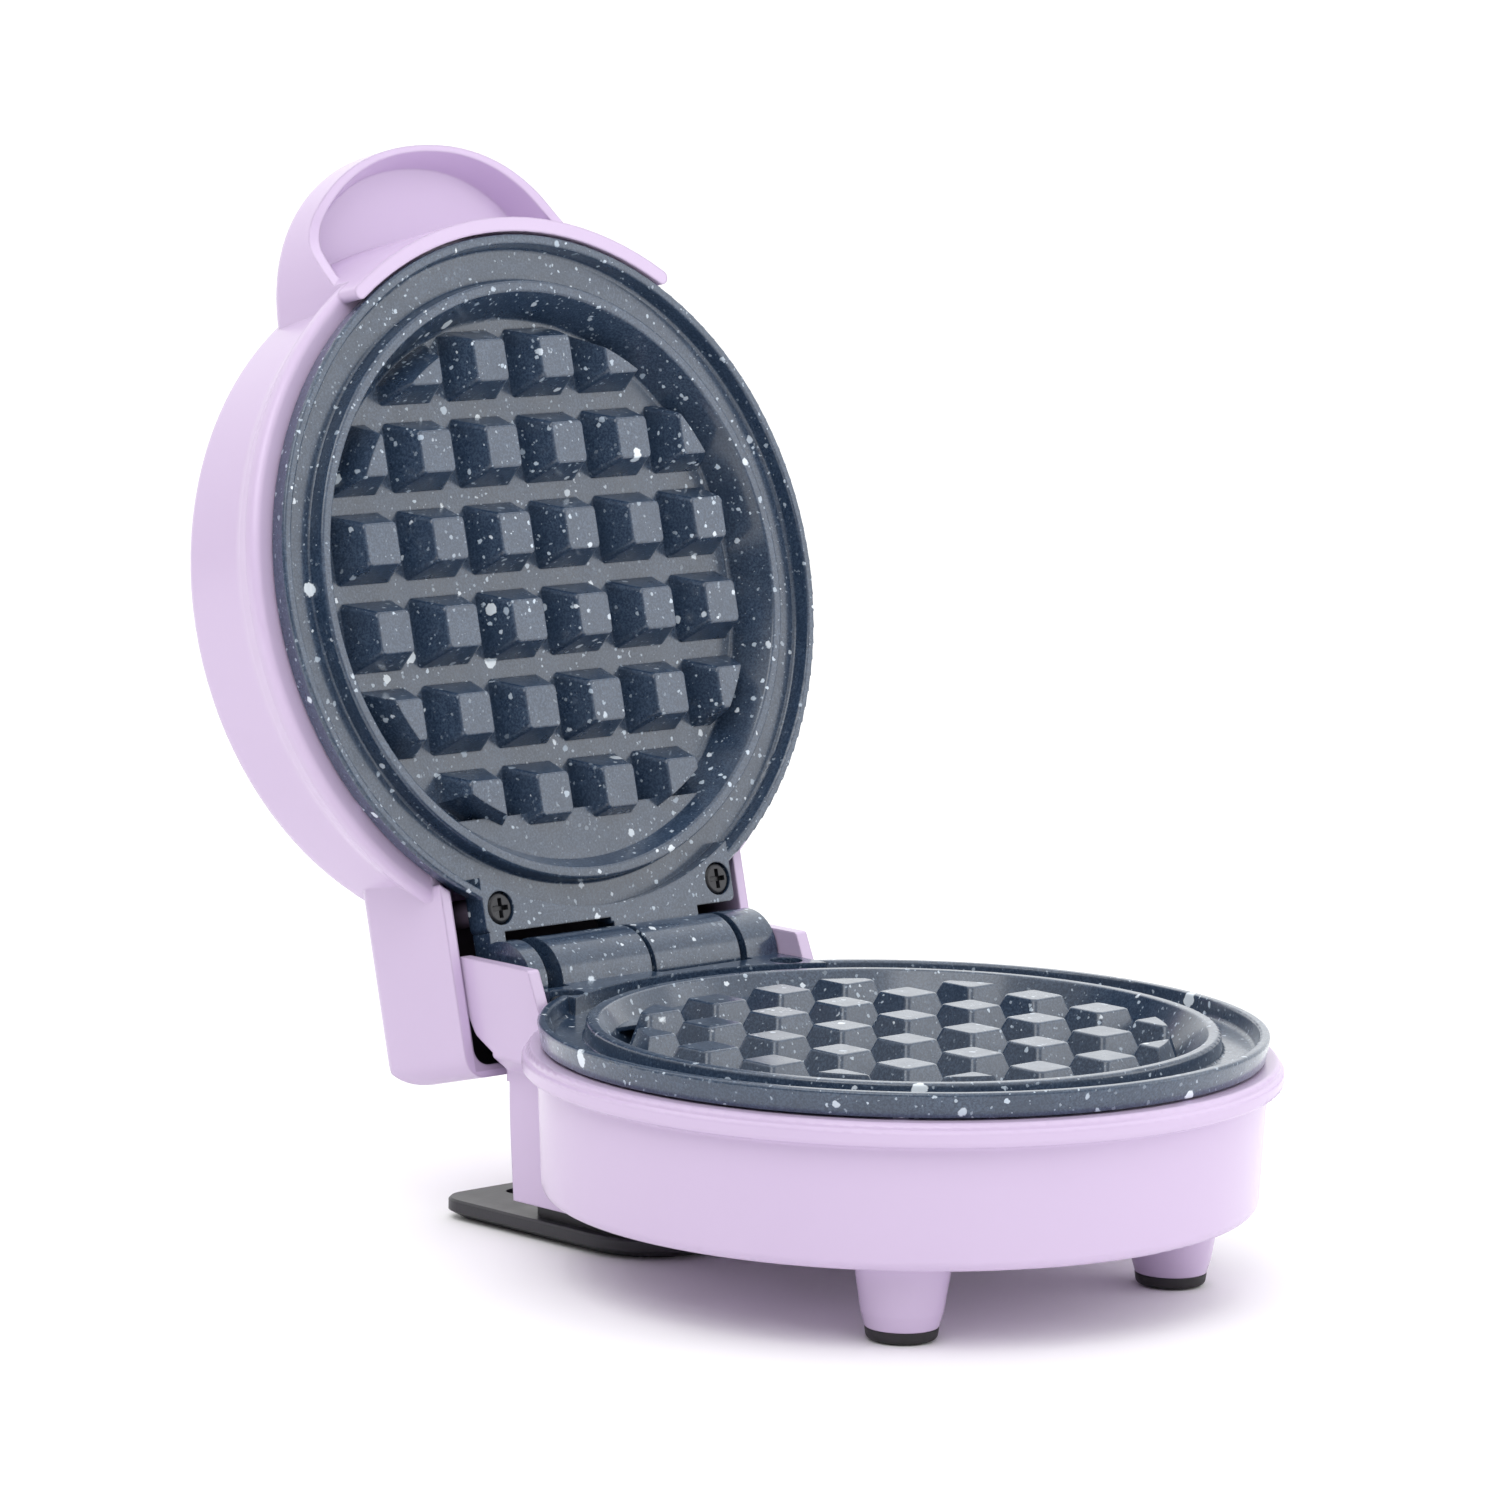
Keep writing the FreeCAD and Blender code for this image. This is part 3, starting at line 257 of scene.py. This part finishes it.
rubber = moulded("black_rubber", (0.018, 0.017, 0.019), (0.026, 0.025, 0.027), (0.55, 0.7),
                 0.00004, 1800.0)
cream_plastic = moulded("cream_block", (0.78, 0.75, 0.66), (0.72, 0.69, 0.6), (0.35, 0.45))
lead_cover = moulded("lead_cover", (0.80, 0.79, 0.74), (0.74, 0.73, 0.68), (0.4, 0.5))
sleeve = moulded("black_sleeve", (0.02, 0.02, 0.022), (0.03, 0.03, 0.032), (0.42, 0.55),
                 0.00005, 2200.0)
stone_coating = stone("stone_coating")
zinc = metal("zinc_steel", (0.62, 0.63, 0.64), (0.54, 0.55, 0.57), (0.24, 0.40))
dark_screw = metal("black_screw", (0.016, 0.017, 0.021), (0.026, 0.027, 0.032), (0.24, 0.36),
                   metallic=0.3)
pin_steel = metal("pin_steel", (0.56, 0.56, 0.57), (0.48, 0.48, 0.50), (0.20, 0.34), (1, 9, 9))
sheet = metal("shield_sheet", (0.78, 0.79, 0.80), (0.70, 0.71, 0.73), (0.28, 0.42), (1, 14, 1))
sheath = metal("heater_sheath", (0.30, 0.27, 0.24), (0.20, 0.19, 0.20), (0.38, 0.55))
phenolic = moulded("phenolic", (0.05, 0.045, 0.045), (0.07, 0.06, 0.055), (0.35, 0.5))


def lens_material():
    m = Mat("lens_orange")
    m.feed("Base Color", m.mix(m.ramp(m.noise(300.0), 0.3, 0.7), (0.85, 0.18, 0.03), (0.75, 0.12, 0.02)))
    m.feed("Roughness", m.ramp(m.noise(200.0), 0.3, 0.7, 0.06, 0.14))
    m.set(Transmission_Weight=0.5, IOR=1.49)
    m.bump(m.cells(900.0)[0], 0.00006, 0.8)
    return m


def lamp_material():
    m = Mat("lamp_glass")
    m.feed("Base Color", m.mix(m.ramp(m.noise(400.0), 0.3, 0.7), (0.92, 0.90, 0.86), (0.86, 0.82, 0.76)))
    m.feed("Roughness", m.ramp(m.noise(250.0), 0.3, 0.7, 0.03, 0.08))
    m.set(Transmission_Weight=0.85, IOR=1.5)
    return m


lens_orange = lens_material()
lamp_glass = lamp_material()

FINISH = {
    "base_shell": shell_lilac, "lid_shell": lilac_lid, "base_cover": shell_lilac,
    "foot_tips": rubber, "cord_wrap_plate": black_plastic, "cord_inlet_bush": rubber,
    "lower_grill_plate": stone_coating, "upper_grill_plate": stone_coating,
    "terminal_block": cream_plastic, "hinge_pin": pin_steel,
    "indicator_lens": lens_orange, "neon_lamp": lamp_glass,
    "lower_tab_screws": dark_screw, "upper_tab_screws": dark_screw}
for side in ("lower", "upper"):
    FINISH[side + "_heater"] = sheath
    FINISH[side + "_heat_shield"] = sheet
    FINISH[side + "_thermostat"] = phenolic
for name, node in nodes.items():
    if name in FINISH:
        material = FINISH[name]
    elif "sleeve" in name:
        material = sleeve
    elif "lead" in name:
        material = lead_cover
    else:
        material = zinc
    node.data.materials.clear()
    node.data.materials.append(material.m)


# ---------------------------------------------------------------- stage, camera, light
def area(name, size, at, look, watts):
    light = bpy.data.lights.new(name, "AREA")
    light.shape = "RECTANGLE"
    light.size, light.size_y = size
    light.energy = watts
    o = bpy.data.objects.new(name, light)
    bpy.context.scene.collection.objects.link(o)
    o.location = at
    o.rotation_euler = (Vector(look) - Vector(at)).to_track_quat("-Z", "Y").to_euler()


FLOOR_HALF = 40.0
FLOOR_GAP = 0.2 * MM                # keeps the feet's faces clear of the floor


def floor():
    m = Mat("pale_floor")
    tone = m.ramp(m.noise(3.0, 2.0), 0.3, 0.7)
    m.feed("Base Color", m.mix(tone, (0.96, 0.96, 0.96), (0.95, 0.95, 0.955)))
    m.set(Roughness=0.9, Specular_IOR_Level=0.1)
    mesh = bpy.data.meshes.new("floor")
    corners = [(x * FLOOR_HALF, y * FLOOR_HALF, 0) for x, y in ((-1, -1), (1, -1), (1, 1), (-1, 1))]
    mesh.from_pydata(corners, [], [(0, 1, 2, 3)])
    mesh.materials.append(m.m)
    o = bpy.data.objects.new("floor", mesh)
    o.location.z = -FLOOR_GAP
    bpy.context.scene.collection.objects.link(o)


CAMERA_AZIMUTH = -43.623            # degrees, as are the next two
CAMERA_ELEVATION = 8.168
CAMERA_ROLL = 1.072
CAMERA_DISTANCE = 1.09532           # from the middle of the lower plate's lip
CAMERA_ACROSS = -0.025513
CAMERA_UP = 0.045313
LENS_MM = 158.1
SENSOR_MM = 36.0


def camera():
    azimuth = math.radians(CAMERA_AZIMUTH)
    elevation = math.radians(CAMERA_ELEVATION)
    roll = math.radians(CAMERA_ROLL)
    flat = math.cos(elevation)
    back = Vector((math.sin(azimuth) * flat, -math.cos(azimuth) * flat, math.sin(elevation)))
    level = Vector((math.cos(azimuth), math.sin(azimuth), 0))
    up = back.cross(level)
    right = level * math.cos(roll) + up * math.sin(roll)
    top = up * math.cos(roll) - level * math.sin(roll)
    place = back * CAMERA_DISTANCE + right * CAMERA_ACROSS + top * CAMERA_UP
    place += Vector((0, PLATE_Y, LIP_Z))
    data = bpy.data.cameras.new("camera")
    data.lens = LENS_MM
    data.sensor_width = SENSOR_MM
    data.clip_start = 0.05
    o = bpy.data.objects.new("camera", data)
    o.matrix_world = Matrix((
        (right.x, top.x, back.x, place.x), (right.y, top.y, back.y, place.y),
        (right.z, top.z, back.z, place.z), (0, 0, 0, 1)))
    bpy.context.scene.collection.objects.link(o)
    bpy.context.scene.camera = o


class Sky:
    """World light with a strength that depends on direction, and plain white where it is seen."""

    def __init__(self):
        world = bpy.data.worlds.new("studio")
        world.use_nodes = True
        self.t = world.node_tree
        self.direction = self.t.nodes.new("ShaderNodeTexCoord").outputs["Generated"]
        self.background = self.t.nodes["Background"]
        bpy.context.scene.world = world

    def math(self, op, a, b):
        n = self.t.nodes.new("ShaderNodeMath")
        n.operation = op
        for i, v in enumerate((a, b)):
            if isinstance(v, bpy.types.NodeSocket):
                self.t.links.new(v, n.inputs[i])
            else:
                n.inputs[i].default_value = v
        return n.outputs[0]

    def lobe(self, towards, start, full, strength):
        """Strength that grows smoothly from cosine start to cosine full about a direction."""
        dot = self.t.nodes.new("ShaderNodeVectorMath")
        dot.operation = "DOT_PRODUCT"
        self.t.links.new(self.direction, dot.inputs[0])
        dot.inputs[1].default_value = Vector(towards).normalized()
        ramp = self.t.nodes.new("ShaderNodeMapRange")
        ramp.interpolation_type = "SMOOTHSTEP"
        self.t.links.new(dot.outputs["Value"], ramp.inputs[0])
        for i, v in enumerate((start, full, 0.0, strength)):
            ramp.inputs[1 + i].default_value = v
        return ramp.outputs[0]

    def light(self, base, lobes):
        total = base
        for lobe in lobes:
            total = self.math("ADD", total, self.lobe(*lobe))
        seen = self.t.nodes.new("ShaderNodeLightPath").outputs["Is Camera Ray"]
        total = self.math("MAXIMUM", total, seen)
        self.t.links.new(total, self.background.inputs[1])
        self.background.inputs[0].default_value = (1.0, 1.0, 1.0, 1.0)


def studio():
    """Soft light: bright above and behind, dimmer in front and at the left, and two soft boxes."""
    Sky().light(0.72, (
        ((0, 0, 1), 0.1, 0.9, 0.70),
        ((0.68, 0.72, 0.1), 0.3, 0.95, 0.45),
        ((-0.68, -0.72, -0.1), 0.3, 0.95, -0.22),
        ((-1, 0.1, 0), 0.25, 0.95, -0.50)))
    aim = (0, 0.02, 0.08)
    area("high_left_box", (1.1, 1.0), (-0.95, -0.45, 1.25), aim, 8.0)
    area("right_box", (0.9, 0.8), (0.93, -0.92, 0.38), aim, 3.2)
    bpy.context.scene.view_settings.view_transform = "Standard"


floor()
camera()
studio()
